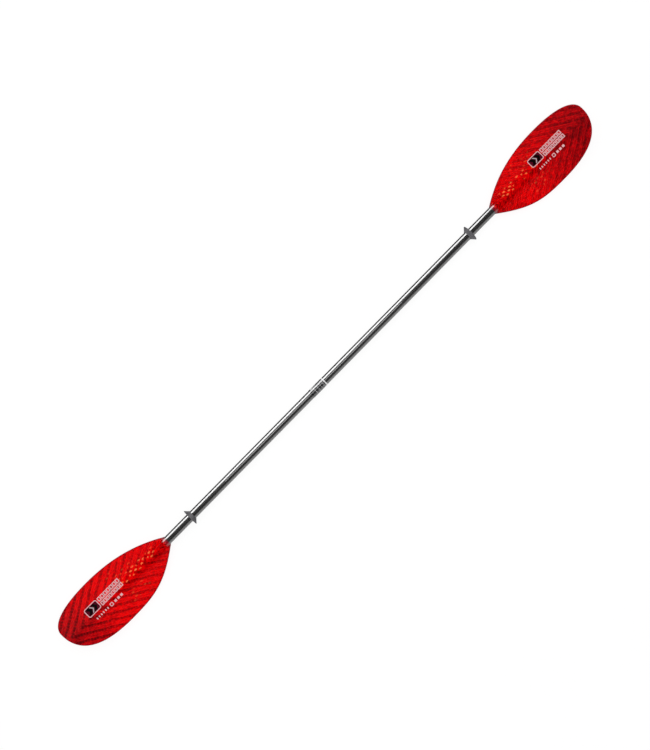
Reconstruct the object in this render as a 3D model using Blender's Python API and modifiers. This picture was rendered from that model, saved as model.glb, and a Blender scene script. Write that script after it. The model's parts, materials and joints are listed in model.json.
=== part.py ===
"""A two-piece kayak paddle: glass-fibre blades, a carbon-fibre tube in two halves, a button ferrule, drip rings.

The shaft runs along X through the origin, which is the middle of the paddle's length. +Z is the side that the
blades' power faces look to, and +Y is the side of the blades' straighter, longer edge. All sizes are in metres.
"""

import math

import bmesh
import bpy
import numpy as np
from mathutils import Vector

# Overall
LENGTH = 2.400
GAP = 0.0003
TURNED_STEPS = 48
SMALL_STEPS = 24

# Shaft tube
SHAFT_R = 0.0143
SHAFT_WALL = 0.0016
SHAFT_BORE_R = SHAFT_R - SHAFT_WALL

# Ferrule: the joint between the halves sits a little off the middle
SEAM_X = -0.0355
SEAM_RING_LENGTH = 0.0044
SEAM_RING_R = 0.0147
SOCKET_LENGTH = 0.102
SOCKET_R = SHAFT_BORE_R - GAP
SOCKET_BORE_R = 0.0112
SPIGOT_R = SOCKET_BORE_R - 0.00025
SPIGOT_REACH = 0.095
SPIGOT_ROOT = 0.060
SPIGOT_BORE_R = 0.0094
SCALE_LENGTH = 0.056
FILM = 0.00025

# Snap button, which points down at rest
BUTTON_X = SEAM_X - 0.034
BUTTON_R = 0.0036
BUTTON_HOLE_R = 0.0041
BUTTON_TOP = 0.0158
BUTTON_FLANGE_R = 0.0047
BUTTON_FLANGE_TOP = 0.0080
BUTTON_BASE = 0.0070
FEATHER_STEP = math.radians(60)

# Blade: BLADE_LENGTH runs from the tip to the neck where the shaft goes in
BLADE_LENGTH = 0.4440
NECK_R = 0.0154
RIM_THICKNESS = 0.0018
PLATE_THICKNESS = 0.0036
TIP_LIFT = 0.038
LIFT_START = 0.080
EDGE_DROOP = 0.100
SOCKET_DEPTH = 0.065
RIDGE_END = 0.245
CORE_LENGTH = 0.095
CORE_END_R = 0.0030
BLADE_ROWS = 28
RIDGE_COLUMNS = 12
WING_COLUMNS = 4

# Each edge of the blade in (distance from the tip, distance from the shaft's axis), as two Bezier arcs
UPPER_EDGE = [
    [(0.000, 0.030), (0.000, 0.0465), (0.0082, 0.0909), (0.1630, 0.0909)],
    [(0.1630, 0.0909), (0.2487, 0.0909), (0.3462, 0.0755), (BLADE_LENGTH, 0.0156)],
]
LOWER_EDGE = [
    [(0.000, -0.030), (0.000, 0.0357), (0.0341, 0.0965), (0.1930, 0.0965)],
    [(0.1930, 0.0965), (0.2822, 0.0965), (0.3380, 0.0945), (BLADE_LENGTH, 0.0156)],
]

# Decal films on the power faces: where each set starts, then each film's span along X, its span in Y, its corners
DECAL_START_X = {"left": -1.102, "right": 0.951}
DECALS = {
    "badge": ((0.000, 0.052), (0.001, 0.0330), 0.006),
    "bars": ((0.056, 0.149), (0.001, 0.0315), 0.003),
    "line": ((0.014, 0.130), (-0.022, -0.010), 0.003),
}

# Drip rings: where each hub's face toward the middle stands, and the ring's own shape
LEFT_RING_X = -0.640
RIGHT_RING_X = 0.6375
RING_BORE_R = SHAFT_R + GAP
RING_HUB_R = 0.0168
RING_RIM_R = 0.0288
RING_LENGTH = 0.0120
RING_RIM_AT = 0.0130


# ---------------------------------------------------------------- scene, materials and helpers


def clear_scene():
    for obj in list(bpy.data.objects):
        bpy.data.objects.remove(obj, do_unlink=True)


def new_collection(name, hidden=False):
    collection = bpy.data.collections.new(name)
    bpy.context.scene.collection.children.link(collection)
    collection.hide_render = hidden
    return collection


def material(name, colour, roughness, metallic=0.0, coat=0.0):
    made = bpy.data.materials.new(name)
    made.use_nodes = True
    shader = made.node_tree.nodes["Principled BSDF"]
    shader.inputs["Base Color"].default_value = (*colour, 1.0)
    shader.inputs["Roughness"].default_value = roughness
    shader.inputs["Metallic"].default_value = metallic
    shader.inputs["Coat Weight"].default_value = coat
    made.diffuse_color = (*colour, 1.0)
    return made


def add_object(name, mesh, look, parent=None, location=(0, 0, 0)):
    """Puts a mesh in the paddle's collection; location is in world coordinates, also under a parent."""
    obj = bpy.data.objects.new(name, mesh)
    bpy.data.collections["kayak_paddle"].objects.link(obj)
    mesh.materials.append(look)
    obj.location = Vector(location) - (parent.location if parent else Vector())
    obj.parent = parent
    return obj


def add_empty(name, location):
    empty = bpy.data.objects.new(name, None)
    bpy.data.collections["kayak_paddle"].objects.link(empty)
    empty.location = location
    return empty


def settle(obj):
    """Applies an object's modifiers and shades its round faces smooth."""
    bpy.context.view_layer.update()
    graph = bpy.context.evaluated_depsgraph_get()
    mesh = bpy.data.meshes.new_from_object(obj.evaluated_get(graph))
    obj.modifiers.clear()
    obj.data = mesh
    mesh.shade_smooth()
    mesh.set_sharp_from_angle(angle=math.radians(32))


def turned(name, profile, look, x=0.0, toward=1, parent=None, steps=TURNED_STEPS, closed=True):
    """A turned piece on the shaft's axis. The profile is (radius, distance from x), read down its outer side."""
    mesh = bpy.data.meshes.new(name)
    points = [(radius, 0.0, along) for radius, along in profile]
    edges = [(i, i + 1) for i in range(len(points) - 1)]
    if closed:
        edges.append((len(points) - 1, 0))
    mesh.from_pydata(points, edges, [])
    obj = add_object(name, mesh, look, parent, (x, 0, 0))
    obj.rotation_euler = (0, toward * math.pi / 2, 0)
    screw = obj.modifiers.new("turn", "SCREW")
    screw.steps = screw.render_steps = steps
    screw.use_merge_vertices = True
    screw.merge_threshold = 0.00001
    return obj


def tube(name, outer, inner, length, look, x, toward=1, parent=None):
    profile = [(outer, length), (outer, 0), (inner, 0), (inner, length)]
    return turned(name, profile, look, x, toward, parent)


def cut(obj, cutters):
    for cutter in cutters:
        boolean = obj.modifiers.new("cut", "BOOLEAN")
        boolean.operation = "DIFFERENCE"
        boolean.solver = "EXACT"
        boolean.object = cutter


def as_cutter(obj):
    for collection in list(obj.users_collection):
        collection.objects.unlink(obj)
    bpy.data.collections["cutters"].objects.link(obj)
    obj.hide_render = True
    obj.display_type = "WIRE"
    return obj


def button_cutter(name, angle):
    """A drill through one side of the tube, at this angle from straight down."""
    bpy.ops.mesh.primitive_cylinder_add(vertices=SMALL_STEPS, radius=BUTTON_HOLE_R, depth=SHAFT_R)
    drill = bpy.context.object
    drill.name = name
    middle = SHAFT_R
    drill.location = (BUTTON_X, -middle * math.sin(angle), -middle * math.cos(angle))
    drill.rotation_euler = (-angle, 0, 0)
    return as_cutter(drill)


# ---------------------------------------------------------------- blade surface


def edge_curve(arcs):
    """Points along an edge of the blade: (distance from the tip, half-width)."""
    t = np.linspace(0, 1, 120)[:, None]
    points = []
    for p0, p1, p2, p3 in np.array(arcs):
        points.append((1 - t) ** 3 * p0 + 3 * (1 - t) ** 2 * t * p1 + 3 * (1 - t) * t * t * p2 + t**3 * p3)
    return np.concatenate(points)


def half_widths(d):
    """The blade's reach from the shaft's axis toward +Y and toward -Y, at distance d from the tip."""
    upper, lower = edge_curve(UPPER_EDGE), edge_curve(LOWER_EDGE)
    return np.interp(d, upper[:, 0], upper[:, 1]), np.interp(d, lower[:, 0], lower[:, 1])


def ease(a, b, value):
    t = np.clip((value - a) / (b - a), 0, 1)
    return t * t * (3 - 2 * t)


def middle_height(s, y):
    """Height of the middle of the laminate: the blade lifts toward its tip and droops toward its edges."""
    lift = TIP_LIFT * (np.maximum(s - LIFT_START, 0) / (BLADE_LENGTH - LIFT_START)) ** 2
    soft = 0.008
    droop = EDGE_DROOP * (np.sqrt(y * y + soft * soft) - soft)
    return lift - droop * ease(0.0, 0.12, s)


def ridge_size(s):
    """(height, half-width) of the ridge that holds the shaft, at distance s from the neck."""
    fade = ease(SOCKET_DEPTH * 0.8, RIDGE_END, s)
    return NECK_R * (1 - fade), NECK_R * (1 - 0.25 * fade)


def half_thickness(s, y, half_width):
    """Half the thickness: a thin plate with a ridge on it, joined by a fillet."""
    across = np.clip(np.abs(y) / half_width, 0, 1)
    plate = RIM_THICKNESS / 2 + (PLATE_THICKNESS - RIM_THICKNESS) / 2 * np.sqrt(1 - across**2)
    height, width = ridge_size(s)
    inside = np.clip(np.abs(y) / width, 0, 1)
    ridge = height * np.sqrt(1 - inside**2) - 1.2 * np.maximum(np.abs(y) - width, 0)
    fillet = 0.0002 + 0.010 * ease(0.0, 0.07, s) * height / NECK_R
    near = np.maximum(fillet - np.abs(ridge - plate), 0) / fillet
    return np.maximum(ridge, plate) + near * near * fillet / 4


def face_height(d, y, top):
    """Height of the power face (top) or of the back, at a point of the blade."""
    upper, lower = half_widths(d)
    s = BLADE_LENGTH - d
    half = half_thickness(s, y, np.where(y > 0, np.maximum(upper, 1e-4), np.maximum(lower, 1e-4)))
    return middle_height(s, y) + (half if top else -half)


def blade_row(d):
    """Places across the blade at distance d from the tip, closer together over the ridge."""
    upper, lower = half_widths(d)
    middle = (upper - lower) / 2
    width = (upper + lower) / 2
    round_part = np.sin(np.linspace(-1, 1, RIDGE_COLUMNS + 1) * math.pi / 2)
    spread = max(NECK_R, 0.42 * width)
    inner = round_part * min(spread, width - 0.0004)
    shift = middle * ease(0.25, 0.0, d)
    inner = np.clip(inner + shift, -lower + 0.0003, upper - 0.0003)
    rise = np.linspace(0, 1, WING_COLUMNS + 1)[1:]
    above = inner[-1] + (upper - inner[-1]) * rise
    below = inner[0] + (-lower - inner[0]) * rise
    return np.concatenate([below[::-1], inner, above])


def rounded_grid(rows, height_top, height_bottom, side):
    """A closed skin over rows of (x, [y...]) with a top and a bottom height for each point."""
    made = bmesh.new()
    top, bottom = [], []
    for d, across in rows:
        x = side * (LENGTH / 2 - d)
        top.append([made.verts.new((x, y, height_top(d, y))) for y in across])
        bottom.append([made.verts.new((x, y, height_bottom(d, y))) for y in across])
    for i in range(len(top) - 1):
        for j in range(len(top[0]) - 1):
            for skin in (top, bottom):
                made.faces.new((skin[i][j], skin[i][j + 1], skin[i + 1][j + 1], skin[i + 1][j]))
        for j in (0, -1):
            made.faces.new((top[i][j], top[i + 1][j], bottom[i + 1][j], bottom[i][j]))
    for i in (0, -1):
        for j in range(len(top[0]) - 1):
            made.faces.new((top[i][j], top[i][j + 1], bottom[i][j + 1], bottom[i][j]))
    bmesh.ops.recalc_face_normals(made, faces=made.faces)
    mesh = bpy.data.meshes.new("skin")
    made.to_mesh(mesh)
    made.free()
    return mesh


# ---------------------------------------------------------------- sub-parts


def make_blade(name, side, look, parent):
    """A blade with its neck bored for the shaft and, past the shaft's end, for the foam core."""
    steps = np.arange(BLADE_ROWS + 1) / BLADE_ROWS
    from_tip = 0.0003 + (BLADE_LENGTH - 0.0003) * (1 - np.cos(math.pi * steps)) / 2
    rows = [(d, blade_row(d)) for d in from_tip]
    mesh = rounded_grid(
        rows, lambda d, y: face_height(d, y, True), lambda d, y: face_height(d, y, False), side
    )
    blade = add_object(name, mesh, look, parent)
    if parent:
        blade.location = -parent.location
    neck_x = side * (LENGTH / 2 - BLADE_LENGTH)
    bore = SHAFT_R + GAP
    end = SOCKET_DEPTH + GAP
    profile = [
        (0, end + CORE_LENGTH + 2 * GAP),
        (CORE_END_R + GAP, end + CORE_LENGTH + 2 * GAP),
        (bore, end),
        (bore, -0.002),
        (0, -0.002),
    ]
    drill = turned(name + "_bore", profile, look, neck_x, side, closed=False)
    cut(blade, [as_cutter(drill)])
    settle(blade)
    return blade


def make_shaft(name, side, seam_end, look, parent):
    """Half of the tube, from the ferrule to its end inside the blade's neck."""
    far_end = LENGTH / 2 - BLADE_LENGTH + SOCKET_DEPTH
    length = far_end - side * seam_end
    return tube(name, SHAFT_R, SHAFT_BORE_R, length, look, seam_end, side, parent)


def make_core(name, side, look, parent):
    """The foam core that plugs the tube's end and carries the ridge on into the blade."""
    plug = 0.022
    start = LENGTH / 2 - BLADE_LENGTH + SOCKET_DEPTH
    profile = [
        (0, CORE_LENGTH),
        (CORE_END_R, CORE_LENGTH),
        (SHAFT_R - GAP, GAP),
        (SHAFT_BORE_R - GAP, GAP),
        (SHAFT_BORE_R - GAP, -plug),
        (0, -plug),
    ]
    core = turned(name, profile, look, side * start, side, parent, closed=False)
    settle(core)


def make_plug(name, x, length, radius, look, parent=None):
    edge = 0.001
    profile = [
        (0, length),
        (radius - edge, length),
        (radius, length - edge),
        (radius, edge),
        (radius - edge, 0),
        (0, 0),
    ]
    settle(turned(name, profile, look, x, 1, parent, closed=False))


def make_drip_ring(name, x, side, look):
    """A rubber cup: a hub on the shaft, and a bell that opens toward the blade."""
    bell = 5
    outside, inside = [], []
    for k in range(bell + 1):
        t = k / bell
        outside.append((0.0164 + (RING_RIM_R - 0.0164) * t**1.1, 0.0006 + (RING_RIM_AT - 0.0011) * t))
        inside.append((RING_HUB_R + 0.0002 + (RING_RIM_R - RING_HUB_R - 0.0009) * t**1.1, 0.0050 + 0.0080 * t))
    profile = [
        (RING_HUB_R - 0.0006, RING_LENGTH),
        (RING_HUB_R, RING_LENGTH - 0.0006),
        *inside,
        *reversed(outside),
        (0.0158, 0.0),
        (RING_BORE_R, 0.0),
        (RING_BORE_R, RING_LENGTH),
    ]
    settle(turned(name, profile, look, x, side))


def make_ferrule(looks, right):
    """Socket liner and scale on the left half; spigot, cap and seam ring on the right."""
    left_end = SEAM_X - SEAM_RING_LENGTH / 2
    tube("ferrule_socket", SOCKET_R, SOCKET_BORE_R, SOCKET_LENGTH, looks["nylon"], left_end, -1)
    film_r = SHAFT_R + GAP
    tube("angle_scale", film_r + FILM, film_r, SCALE_LENGTH, looks["film"], left_end - GAP, -1)
    ring_bore = SPIGOT_R + GAP
    ring_start = left_end + GAP
    ring_length = SEAM_RING_LENGTH - 2 * GAP
    bevel = 0.0004
    profile = [
        (SEAM_RING_R - bevel, ring_length),
        (SEAM_RING_R, ring_length - bevel),
        (SEAM_RING_R, bevel),
        (SEAM_RING_R - bevel, 0),
        (ring_bore, 0),
        (ring_bore, ring_length),
    ]
    settle(turned("seam_ring", profile, looks["aluminium"], ring_start))
    right_end = SEAM_X + SEAM_RING_LENGTH / 2
    root_r = SHAFT_BORE_R - GAP
    reach = SPIGOT_REACH + SEAM_RING_LENGTH
    profile = [
        (root_r, SPIGOT_ROOT),
        (root_r, 0),
        (SPIGOT_R, 0),
        (SPIGOT_R, -reach + 0.002),
        (SPIGOT_R - 0.0008, -reach),
        (SPIGOT_BORE_R, -reach),
        (SPIGOT_BORE_R, SPIGOT_ROOT),
    ]
    spigot = turned("ferrule_spigot", profile, looks["nylon"], right_end, 1, right)
    cap_x = right_end - reach - GAP
    flange, depth = 0.003, 0.012
    profile = [
        (0, depth),
        (SPIGOT_BORE_R - GAP, depth),
        (SPIGOT_BORE_R - GAP, 0),
        (SPIGOT_R - 0.0006, 0),
        (SPIGOT_R - 0.0006, -flange + 0.001),
        (SPIGOT_R - 0.0016, -flange),
        (0, -flange),
    ]
    settle(turned("spigot_end_cap", profile, looks["cap"], cap_x, 1, right, closed=False))
    return spigot


def make_button(look, parent):
    """A round-nosed stud with a flange, on its own travel line; it points down."""
    nose = 5
    profile = [(0, BUTTON_TOP)]
    for k in range(1, nose + 1):
        angle = math.pi / 2 * k / nose
        profile.append((BUTTON_R * math.sin(angle), BUTTON_TOP - 0.0014 * (1 - math.cos(angle))))
    profile += [
        (BUTTON_R, BUTTON_FLANGE_TOP),
        (BUTTON_FLANGE_R, BUTTON_FLANGE_TOP),
        (BUTTON_FLANGE_R, BUTTON_BASE),
        (0, BUTTON_BASE),
    ]
    button = turned("snap_button", profile, look, BUTTON_X, 1, parent, SMALL_STEPS, closed=False)
    button.rotation_euler = (math.pi, 0, 0)
    settle(button)


def make_button_spring(look, parent):
    """A V of spring strip folded at one end: one leaf under the button, the other on the spigot's far wall."""
    strip = 0.0006
    half_width = 0.0032
    near, far = -(BUTTON_BASE - GAP - strip / 2), 0.0080
    fold_x = BUTTON_X - 0.026
    fold_r = 0.0016
    leaf_end = BUTTON_X + 0.007
    path = [(leaf_end, near), (BUTTON_X - 0.007, near)]
    for k in range(7):
        angle = math.pi * k / 6
        path.append((fold_x - fold_r * math.sin(angle), -fold_r * math.cos(angle)))
    path += [(BUTTON_X - 0.007, far), (leaf_end, far)]
    made = bmesh.new()
    sides = [[made.verts.new((x, y, z)) for x, z in path] for y in (-half_width, half_width)]
    for k in range(len(path) - 1):
        made.faces.new((sides[0][k], sides[0][k + 1], sides[1][k + 1], sides[1][k]))
    mesh = bpy.data.meshes.new("button_spring")
    made.to_mesh(mesh)
    made.free()
    spring = add_object("button_spring", mesh, look, parent)
    spring.location = -parent.location
    shell = spring.modifiers.new("strip", "SOLIDIFY")
    shell.thickness = strip
    shell.offset = 0
    shell.use_even_offset = True
    settle(spring)


def make_decal(name, side, span_x, span_y, corner, look, parent):
    """A thin film with round corners that follows the power face."""
    ends = sorted(LENGTH / 2 - side * x for x in span_x)
    middle, half = (span_y[0] + span_y[1]) / 2, (span_y[1] - span_y[0]) / 2
    bend = [corner * (1 - math.cos(math.pi / 2 * k / 3)) for k in range(4)]
    straight = np.linspace(ends[0] + corner, ends[1] - corner, 6)[1:-1]
    places = [ends[0] + b for b in bend] + list(straight) + [ends[1] - b for b in reversed(bend)]
    rows = []
    for d in places:
        inset = max(ends[0] + corner - d, d - ends[1] + corner, 0)
        width = half - corner + math.sqrt(max(corner**2 - inset**2, 1e-8))
        rows.append((d, middle + width * np.linspace(-1, 1, 6)))
    mesh = rounded_grid(
        rows,
        lambda d, y: face_height(d, y, True) + GAP + FILM,
        lambda d, y: face_height(d, y, True) + GAP,
        side,
    )
    decal = add_object(name, mesh, look, parent)
    if parent:
        decal.location = -parent.location
    settle(decal)


def main():
    clear_scene()
    new_collection("kayak_paddle")
    new_collection("cutters", hidden=True)
    looks = {
        "laminate": material("red_laminate", (0.58, 0.004, 0.008), 0.18, coat=1.0),
        "carbon": material("carbon", (0.022, 0.022, 0.024), 0.16, coat=1.0),
        "rubber": material("rubber", (0.10, 0.098, 0.102), 0.62),
        "aluminium": material("aluminium", (0.86, 0.86, 0.87), 0.28, metallic=1.0),
        "nylon": material("nylon", (0.03, 0.03, 0.032), 0.45),
        "cap": material("cap", (0.06, 0.06, 0.062), 0.55),
        "foam": material("foam", (0.72, 0.66, 0.50), 0.85),
        "film": material("scale_film", (0.60, 0.60, 0.62), 0.30),
        "steel": material("steel", (0.62, 0.62, 0.64), 0.25, metallic=1.0),
        "decal": material("decal_film", (0.90, 0.66, 0.68), 0.25),
    }
    right = add_empty("right_half_axis", (SEAM_X, 0, 0))
    left_end = SEAM_X - SEAM_RING_LENGTH / 2
    right_end = SEAM_X + SEAM_RING_LENGTH / 2

    for name, side, parent in (("left", -1, None), ("right", 1, right)):
        make_blade(name + "_blade", side, looks["laminate"], parent)
        make_core(name + "_blade_core", side, looks["foam"], parent)
        for film, (span, span_y, corner) in DECALS.items():
            span_x = [DECAL_START_X[name] + along for along in span]
            make_decal(f"{name}_blade_{film}", side, span_x, span_y, corner, looks["decal"], parent)
    left_shaft = make_shaft("left_shaft", -1, left_end, looks["carbon"], None)
    right_shaft = make_shaft("right_shaft", 1, right_end, looks["carbon"], right)
    make_drip_ring("left_drip_ring", LEFT_RING_X, -1, looks["rubber"])
    make_drip_ring("right_drip_ring", RIGHT_RING_X, 1, looks["rubber"])

    spigot = make_ferrule(looks, right)
    drills = [button_cutter(f"drill_{k}", k * FEATHER_STEP) for k in (-1, 0, 1)]
    for name in ("left_shaft", "ferrule_socket", "angle_scale"):
        cut(bpy.data.objects[name], drills)
        settle(bpy.data.objects[name])
    cut(spigot, [drills[1]])
    settle(spigot)
    settle(right_shaft)
    make_button(looks["steel"], right)
    make_button_spring(looks["steel"], right)
    plug_r = SHAFT_BORE_R - GAP
    make_plug("socket_bulkhead", left_end - SOCKET_LENGTH - 0.026, 0.022, plug_r, looks["foam"])
    make_plug("spigot_bulkhead", right_end + SPIGOT_ROOT + 0.004, 0.022, plug_r, looks["foam"], right)


main()
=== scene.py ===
"""Looks of the two-piece kayak paddle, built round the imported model. All sizes are in metres.

The shaft runs along X through the origin. +Z is the side of the power faces and +Y the side of the blades'
straighter edge. The blade's surface is the same formula as in the model, on a finer grid.
"""

import json
import math

import bmesh
import bpy
import numpy as np
from mathutils import Matrix, Vector

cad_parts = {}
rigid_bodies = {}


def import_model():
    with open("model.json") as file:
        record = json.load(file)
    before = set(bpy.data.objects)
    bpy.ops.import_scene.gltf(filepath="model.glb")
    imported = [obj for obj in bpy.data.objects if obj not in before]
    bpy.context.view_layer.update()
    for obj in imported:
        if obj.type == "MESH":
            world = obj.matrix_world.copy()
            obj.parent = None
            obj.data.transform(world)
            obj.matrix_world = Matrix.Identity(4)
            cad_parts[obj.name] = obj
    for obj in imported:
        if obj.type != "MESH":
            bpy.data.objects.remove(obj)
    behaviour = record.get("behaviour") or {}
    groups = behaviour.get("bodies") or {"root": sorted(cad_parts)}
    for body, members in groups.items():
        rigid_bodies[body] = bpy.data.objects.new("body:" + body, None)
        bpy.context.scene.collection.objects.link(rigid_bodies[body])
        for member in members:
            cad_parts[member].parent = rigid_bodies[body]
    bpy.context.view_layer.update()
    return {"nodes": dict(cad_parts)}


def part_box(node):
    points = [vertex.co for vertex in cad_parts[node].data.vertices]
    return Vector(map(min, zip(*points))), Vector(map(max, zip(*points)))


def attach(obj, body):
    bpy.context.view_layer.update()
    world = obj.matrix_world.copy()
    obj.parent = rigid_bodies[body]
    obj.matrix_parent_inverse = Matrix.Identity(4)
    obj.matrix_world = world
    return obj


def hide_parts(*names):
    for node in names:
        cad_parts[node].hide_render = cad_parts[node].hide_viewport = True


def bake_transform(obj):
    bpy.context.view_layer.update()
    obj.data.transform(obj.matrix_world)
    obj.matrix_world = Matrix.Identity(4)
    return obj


# Overall
LENGTH = 2.400
GAP = 0.0003
ROUND_STEPS = 128
BORE_STEPS = 96
SMALL_STEPS = 48
SIDES = {"left": -1, "right": 1}

# Shaft and ferrule
SHAFT_R = 0.0143
SHAFT_BORE_R = 0.0127
SEAM_X = -0.0355
SEAM_RING_LENGTH = 0.0044
SEAM_RING_R = 0.0147
SOCKET_LENGTH = 0.102
SOCKET_BORE_R = 0.0112
SPIGOT_R = 0.01095
SPIGOT_REACH = 0.095
SPIGOT_ROOT = 0.060
SPIGOT_BORE_R = 0.0094
SCALE_LENGTH = 0.056
FILM = 0.00025

# Snap button
BUTTON_X = SEAM_X - 0.034
BUTTON_R = 0.0036
BUTTON_HOLE_R = 0.0041
BUTTON_TOP = 0.0158
BUTTON_FLANGE_R = 0.0047
BUTTON_FLANGE_TOP = 0.0080
BUTTON_BASE = 0.0070
FEATHER_STEP = math.radians(60)

# Blade
BLADE_LENGTH = 0.4440
NECK_X = LENGTH / 2 - BLADE_LENGTH
NECK_R = 0.0154
RIM_THICKNESS = 0.0018
RIM_EDGE = 0.0006
PLATE_THICKNESS = 0.0036
TIP_LIFT = 0.038
LIFT_START = 0.080
EDGE_DROOP = 0.100
SOCKET_DEPTH = 0.065
RIDGE_END = 0.245
CORE_LENGTH = 0.095
CORE_END_R = 0.0030
BLADE_ROWS = 120
BLADE_COLUMNS = 108
RIM_COLUMNS = 4
UPPER_EDGE = [
    [(0.000, 0.030), (0.000, 0.0465), (0.0082, 0.0909), (0.1630, 0.0909)],
    [(0.1630, 0.0909), (0.2487, 0.0909), (0.3462, 0.0755), (BLADE_LENGTH, 0.0156)],
]
LOWER_EDGE = [
    [(0.000, -0.030), (0.000, 0.0357), (0.0341, 0.0965), (0.1930, 0.0965)],
    [(0.1930, 0.0965), (0.2822, 0.0965), (0.3380, 0.0945), (BLADE_LENGTH, 0.0156)],
]

# Laminate: the sweep of its chevrons, and the period of each part of its pattern
SWEEP = math.radians(33)
BAND_PERIOD = 0.0215
FINE_PERIOD = 0.0072
CELL_PERIOD = 0.0094
WEAVE_PERIOD = 0.0026
GLINT_PERIOD_X, GLINT_PERIOD_Y = 0.0282, 0.0152
THIN_COAT = 0.035
THIN_COAT_ROUGHNESS = 0.20
COAT_IOR = 2.0

# Decals
DECAL_START_X = {"left": -1.102, "right": 0.951}
BADGE_X, BADGE_Y = (0.000, 0.052), (0.001, 0.0330)
BARS_X, BARS_Y = (0.056, 0.149), (0.001, 0.0315)
LINE_X, LINE_Y = 0.014, (-0.022, -0.010)
FRAME_STROKE = 0.0026
TILE_HEIGHT = 0.0138

# Drip rings
LEFT_RING_X = -0.640
RIGHT_RING_X = 0.6375
RING_BORE_R = SHAFT_R + GAP
RING_HUB_R = 0.0168
RING_RIM_R = 0.0288
RING_LENGTH = 0.0120
RING_RIM_AT = 0.0130

# Camera and studio
SHAFT_TILT = math.radians(45.43)
CAMERA_LEAN = math.radians(3.61)
CAMERA_DISTANCE = 4.5
LENS = 66.27
SENSOR = 36.0
AIM_RIGHT = -0.02176
AIM_UP = -0.00422
FLOOR_Z = -0.0290
FLOOR_GLOW = 0.90
OVERHEAD_POWER = 135.0
AMBIENT = 0.55
AMBIENT_IN_REFLECTIONS = 0.004
BACKDROP = 0.97


# ---------------------------------------------------------------- meshes


def finished(made, name):
    """A mesh from a bmesh, smooth except across sharp corners."""
    bmesh.ops.recalc_face_normals(made, faces=made.faces)
    mesh = bpy.data.meshes.new(name)
    made.to_mesh(mesh)
    made.free()
    shade(mesh)
    return mesh


def shade(mesh):
    """Smooth shading that keeps corners sharper than this angle."""
    mesh.shade_smooth()
    mesh.set_sharp_from_angle(angle=math.radians(36))


def softened(profile, radius, closed=True):
    """The profile with each corner rounded off by at most this radius."""
    made = []
    count = len(profile)
    for k, point in enumerate(profile):
        if not closed and k in (0, count - 1):
            made.append(point)
            continue
        corner = Vector(point)
        before = Vector(profile[k - 1]) - corner
        after = Vector(profile[(k + 1) % count]) - corner
        start = corner + before.normalized() * min(radius, before.length * 0.45)
        end = corner + after.normalized() * min(radius, after.length * 0.45)
        for t in (0.0, 0.25, 0.5, 0.75, 1.0):
            made.append(tuple(start * (1 - t) ** 2 + corner * 2 * t * (1 - t) + end * t * t))
    return made


def lathe(name, profile, x=0.0, side=1, steps=ROUND_STEPS, closed=True):
    """A mesh turned round the X axis. The profile is (radius, distance from x); side is the way it runs."""
    made = bmesh.new()
    turns = [2 * math.pi * k / steps for k in range(steps)]
    rings = []
    for radius, along in profile:
        place = x + side * along
        if radius < 1e-7:
            rings.append([made.verts.new((place, 0, 0))])
        else:
            circle = [(place, radius * math.sin(a), radius * math.cos(a)) for a in turns]
            rings.append([made.verts.new(point) for point in circle])
    pairs = list(zip(rings, rings[1:]))
    if closed:
        pairs.append((rings[-1], rings[0]))
    for one, two in pairs:
        for k in range(steps):
            after = (k + 1) % steps
            corners = [one[k % len(one)], one[after % len(one)], two[after % len(two)], two[k % len(two)]]
            corners = list(dict.fromkeys(corners))
            if len(corners) > 2:
                made.faces.new(corners)
    return finished(made, name)


def drilled(mesh, drills):
    """The mesh with each drill mesh cut out of it."""
    scene = bpy.context.scene.collection.objects
    work = bpy.data.objects.new("work", mesh)
    scene.link(work)
    tools = []
    for drill in drills:
        tool = bpy.data.objects.new("tool", drill)
        scene.link(tool)
        tools.append(tool)
        boolean = work.modifiers.new("cut", "BOOLEAN")
        boolean.operation = "DIFFERENCE"
        boolean.solver = "EXACT"
        boolean.object = tool
    bpy.context.view_layer.update()
    made = bpy.data.meshes.new_from_object(work.evaluated_get(bpy.context.evaluated_depsgraph_get()))
    for obj in [work, *tools]:
        bpy.data.objects.remove(obj)
    shade(made)
    return made


def button_drill(angle):
    """A drill through one side of the tube, at this angle from straight down."""
    inner, outer = SHAFT_R * 0.5, SHAFT_R * 1.5
    profile = [(0, inner), (BUTTON_HOLE_R, inner), (BUTTON_HOLE_R, outer), (0, outer)]
    mesh = lathe("drill", profile, steps=SMALL_STEPS, closed=False)
    out, across, along = np.array([v.co for v in mesh.vertices]).T
    down, flat = -math.cos(angle), -math.sin(angle)
    placed = [BUTTON_X + along, flat * out + down * across, down * out - flat * across]
    mesh.vertices.foreach_set("co", np.stack(placed, axis=1).ravel())
    turned = bmesh.new()
    turned.from_mesh(mesh)
    bmesh.ops.recalc_face_normals(turned, faces=turned.faces)
    turned.to_mesh(mesh)
    turned.free()
    return mesh


def piece(name, mesh, look, body, slot, *nodes):
    """Puts a mesh in the scene in place of these CAD nodes, on this body unless it is None."""
    mesh.name = name
    mesh.materials.clear()
    mesh.materials.append(look)
    obj = bpy.data.objects.new(name, mesh)
    bpy.context.scene.collection.objects.link(obj)
    if body:
        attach(obj, body)
    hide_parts(*nodes)
    return obj


# ---------------------------------------------------------------- blade surface, as in the model


def edge_curve(arcs):
    """Points along an edge of the blade: (distance from the tip, half-width)."""
    t = np.linspace(0, 1, 120)[:, None]
    points = []
    for p0, p1, p2, p3 in np.array(arcs):
        points.append((1 - t) ** 3 * p0 + 3 * (1 - t) ** 2 * t * p1 + 3 * (1 - t) * t * t * p2 + t**3 * p3)
    return np.concatenate(points)


def half_widths(d):
    """The blade's reach to +Y and to -Y at this distance from the tip."""
    upper, lower = edge_curve(UPPER_EDGE), edge_curve(LOWER_EDGE)
    return np.interp(d, upper[:, 0], upper[:, 1]), np.interp(d, lower[:, 0], lower[:, 1])


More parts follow.
